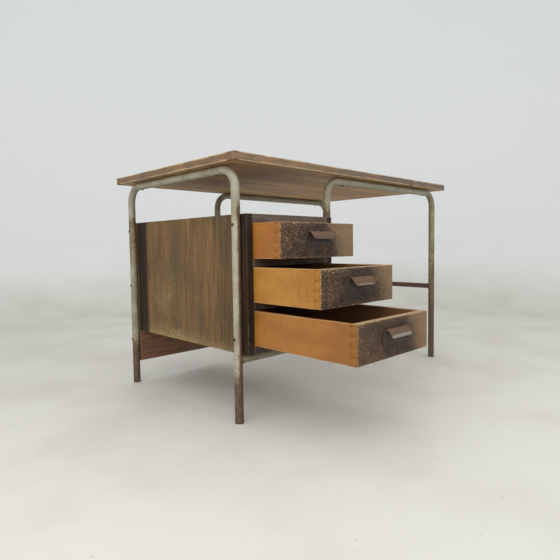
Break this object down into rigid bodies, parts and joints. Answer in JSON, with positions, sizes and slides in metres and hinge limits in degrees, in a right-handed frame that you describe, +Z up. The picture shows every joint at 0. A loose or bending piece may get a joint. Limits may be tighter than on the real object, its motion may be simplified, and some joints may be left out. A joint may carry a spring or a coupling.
{
  "type": "teacher desk",
  "caption": "School teacher desk with a lipped wooden top on bent steel tube legs and an open-mounted pedestal of dovetailed drawers with bent sheet pulls.",
  "frame": {"origin": "on the floor, at the centre of the box that holds the desk with its drawers standing open at rest", "axes": "+X to the sitter's right along the long side, +Y away from the sitter, drawers open towards -Y, +Z up"},
  "size_m": [1.175, 1.0553, 0.76],
  "materials": {
    "tube_paint": "grey-green stoved enamel on steel tube, chipped, with rust towards the feet",
    "top_veneer": "aged brown-stained veneer on the desk top, worn and dry",
    "top_lipping": "stained solid beech edge strip, worn pale along the arrises",
    "carcass_plywood": "weathered olive-brown stained plywood with upright grain",
    "carcass_wood": "dark red-brown stained board",
    "drawer_front": "dark brown stained front, scuffed and speckled",
    "drawer_beech": "clear-varnished beech, orange with age",
    "pull_paint": "brown enamel on bent sheet steel, worn bare on the lip",
    "screw_steel": "dark oxidised steel screws"
  },
  "bodies": {
    "desk": {"divider_middle": "carcass_wood", "divider_upper": "carcass_wood", "end_frame": "tube_paint", "end_stretcher": "tube_paint", "front_frame": "tube_paint", "leg_screw_front_left_lower": "screw_steel", "leg_screw_front_left_upper": "screw_steel", "leg_screw_front_mid_lower": "screw_steel", "leg_screw_front_mid_upper": "screw_steel", "leg_screw_rear_left_lower": "screw_steel", "leg_screw_rear_left_middle": "screw_steel", "leg_screw_rear_left_upper": "screw_steel", "leg_screw_rear_mid_lower": "screw_steel", "leg_screw_rear_mid_upper": "screw_steel", "lipping_back": "top_lipping", "lipping_front": "top_lipping", "lipping_left": "top_lipping", "lipping_right": "top_lipping", "pedestal_back": "carcass_wood", "pedestal_bottom": "carcass_wood", "pedestal_rail": "tube_paint", "pedestal_side_left": "carcass_plywood", "pedestal_side_right": "carcass_plywood", "pedestal_top": "carcass_wood", "rear_frame": "tube_paint", "runner_middle_left": "carcass_wood", "runner_middle_right": "carcass_wood", "runner_upper_left": "carcass_wood", "runner_upper_right": "carcass_wood", "top_core": "top_veneer", "top_screw_end_front": "screw_steel", "top_screw_end_rear": "screw_steel", "top_screw_front_left": "screw_steel", "top_screw_front_right": "screw_steel", "top_screw_rear_left": "screw_steel", "top_screw_rear_right": "screw_steel"},
    "drawer_upper": {"drawer_upper_back": "drawer_beech", "drawer_upper_bottom": "drawer_beech", "drawer_upper_front": "drawer_front", "drawer_upper_pull": "pull_paint", "drawer_upper_pull_screw_left": "screw_steel", "drawer_upper_pull_screw_right": "screw_steel", "drawer_upper_side_left": "drawer_beech", "drawer_upper_side_right": "drawer_beech"},
    "drawer_middle": {"drawer_middle_back": "drawer_beech", "drawer_middle_bottom": "drawer_beech", "drawer_middle_front": "drawer_front", "drawer_middle_pull": "pull_paint", "drawer_middle_pull_screw_left": "screw_steel", "drawer_middle_pull_screw_right": "screw_steel", "drawer_middle_side_left": "drawer_beech", "drawer_middle_side_right": "drawer_beech"},
    "drawer_lower": {"drawer_lower_back": "drawer_beech", "drawer_lower_bottom": "drawer_beech", "drawer_lower_front": "drawer_front", "drawer_lower_pull": "pull_paint", "drawer_lower_pull_screw_left": "screw_steel", "drawer_lower_pull_screw_right": "screw_steel", "drawer_lower_side_left": "drawer_beech", "drawer_lower_side_right": "drawer_beech"}
  },
  "joints": [
    {"name": "drawer_upper_slide", "type": "slide", "parent": "desk", "child": "drawer_upper", "axis": [0, -1, 0], "range_m": [-0.107, 0.333]},
    {"name": "drawer_middle_slide", "type": "slide", "parent": "desk", "child": "drawer_middle", "axis": [0, -1, 0], "range_m": [-0.248, 0.192]},
    {"name": "drawer_lower_slide", "type": "slide", "parent": "desk", "child": "drawer_lower", "axis": [0, -1, 0], "range_m": [-0.358, 0.082]}
  ]
}
